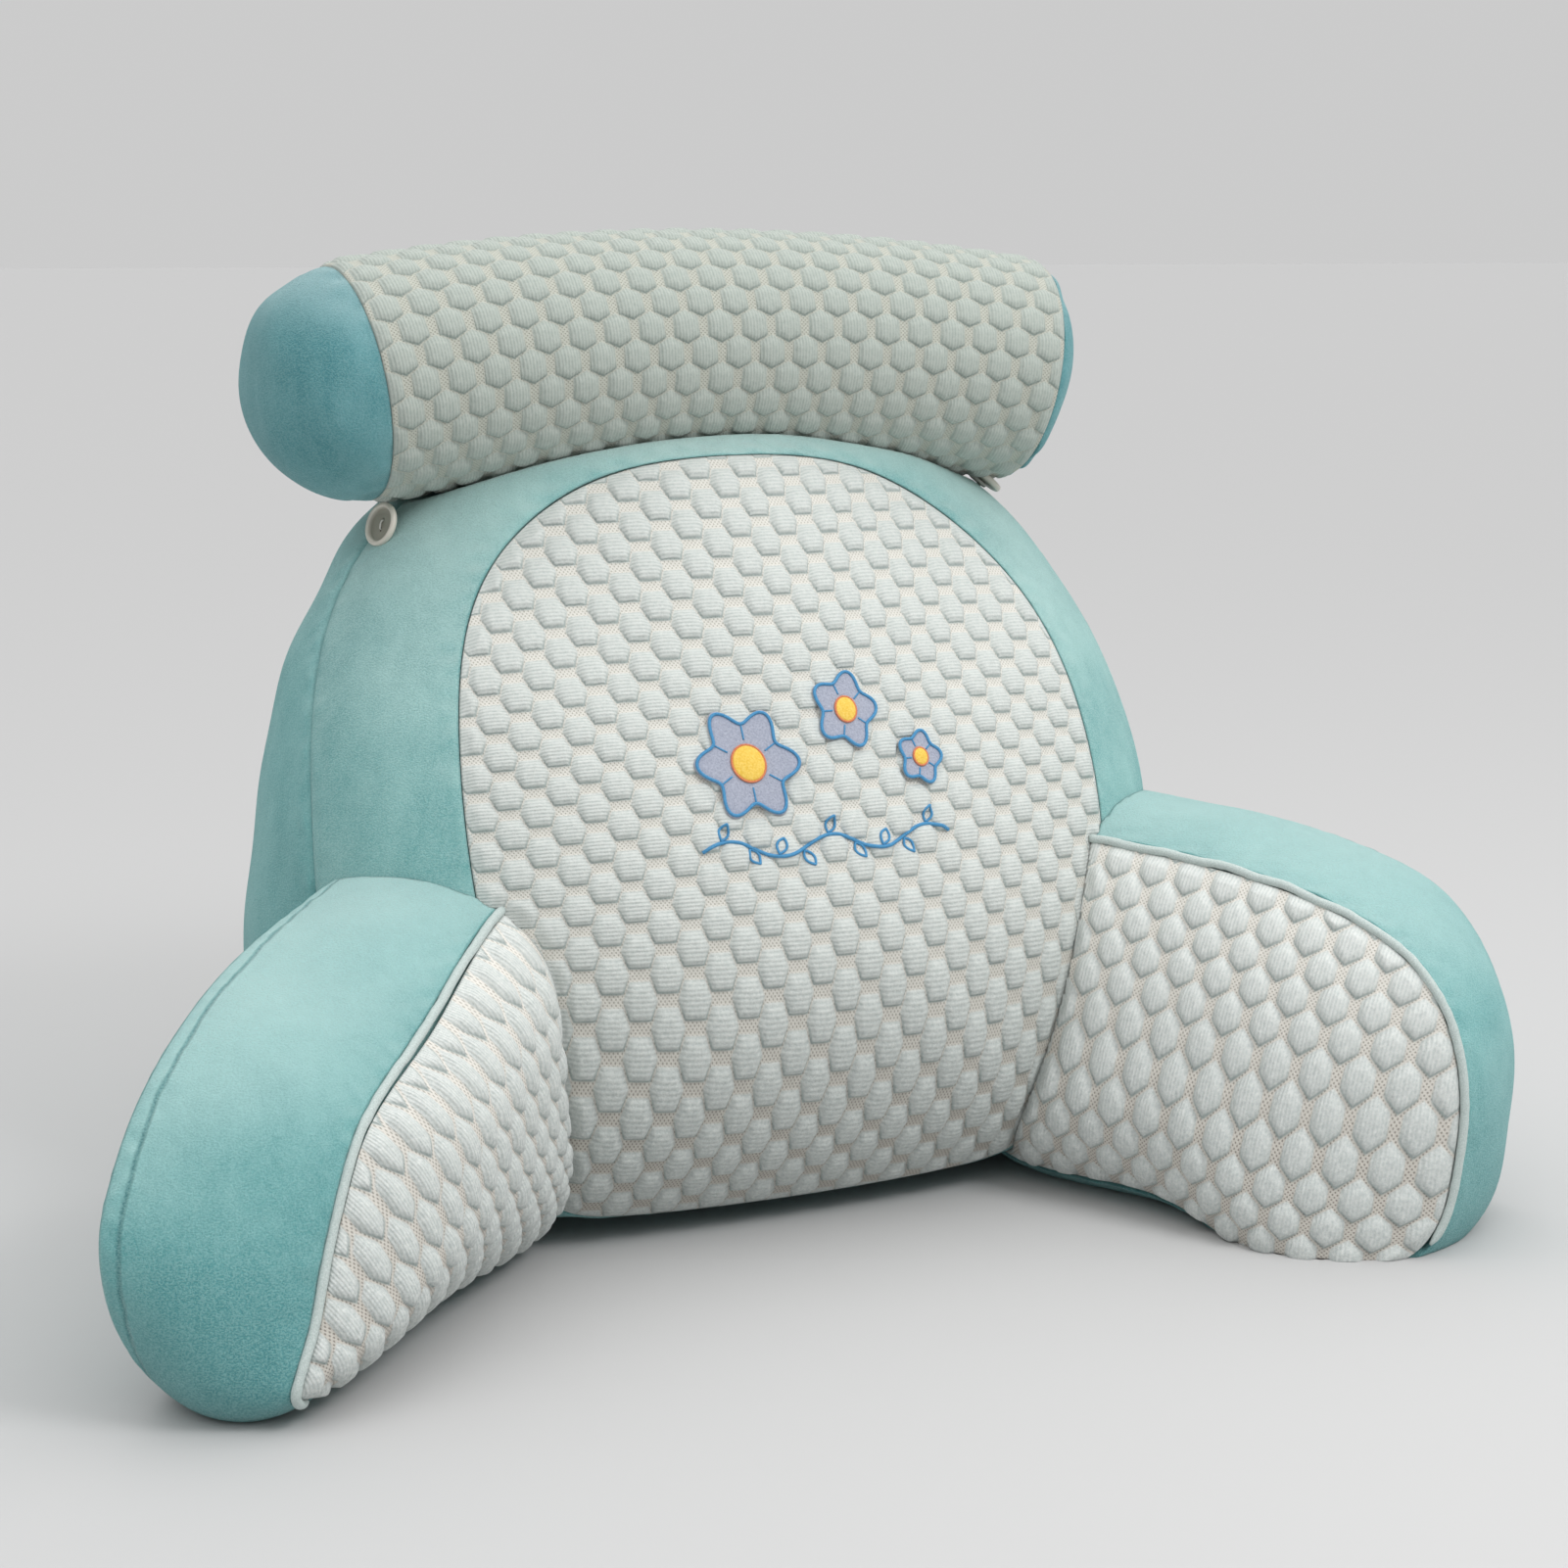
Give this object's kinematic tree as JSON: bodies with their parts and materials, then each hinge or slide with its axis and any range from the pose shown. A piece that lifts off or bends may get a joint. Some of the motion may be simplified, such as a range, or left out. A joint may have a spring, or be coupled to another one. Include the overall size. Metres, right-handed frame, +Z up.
{
  "type": "reading pillow with arms and neck roll",
  "caption": "Filled backrest cushion with two splayed arms, an arched quilted front panel, and a quilted neck roll held on its top edge by loops and buttons.",
  "frame": {"origin": "on the floor, at the middle of the bounding box of backrest, arms and roll", "axes": "+Z up, +X along the backrest towards the sitter's left hand, -Y the way the front faces"},
  "size_m": [0.774, 0.439, 0.5395],
  "materials": {
    "velvet": "turquoise short-pile velvet",
    "honeycomb_knit": "pale grey-green knit, quilted in honeycomb bubbles",
    "welt_cloth": "pale woven piping",
    "felt": "lavender-grey felt with stitched edge",
    "button_plastic": "cream moulded plastic",
    "loop_cord": "off-white elastic cord"
  },
  "bodies": {
    "root": {"backrest_cushion": "velvet", "backrest_frame_band": "velvet", "backrest_center_panel": "honeycomb_knit", "applique_flower_large": "felt", "applique_flower_medium": "felt", "applique_flower_small": "felt", "arm_left_cushion": "velvet", "arm_left_band": "velvet", "arm_left_inner_panel": "honeycomb_knit", "arm_left_welt": "welt_cloth", "arm_right_cushion": "velvet", "arm_right_band": "velvet", "arm_right_inner_panel": "honeycomb_knit", "arm_right_welt": "welt_cloth", "neck_roll": "honeycomb_knit", "neck_roll_end_left": "velvet", "neck_roll_end_right": "velvet", "button_left": "button_plastic", "button_right": "button_plastic", "button_loop_left": "loop_cord", "button_loop_right": "loop_cord"}
  },
  "joints": []
}
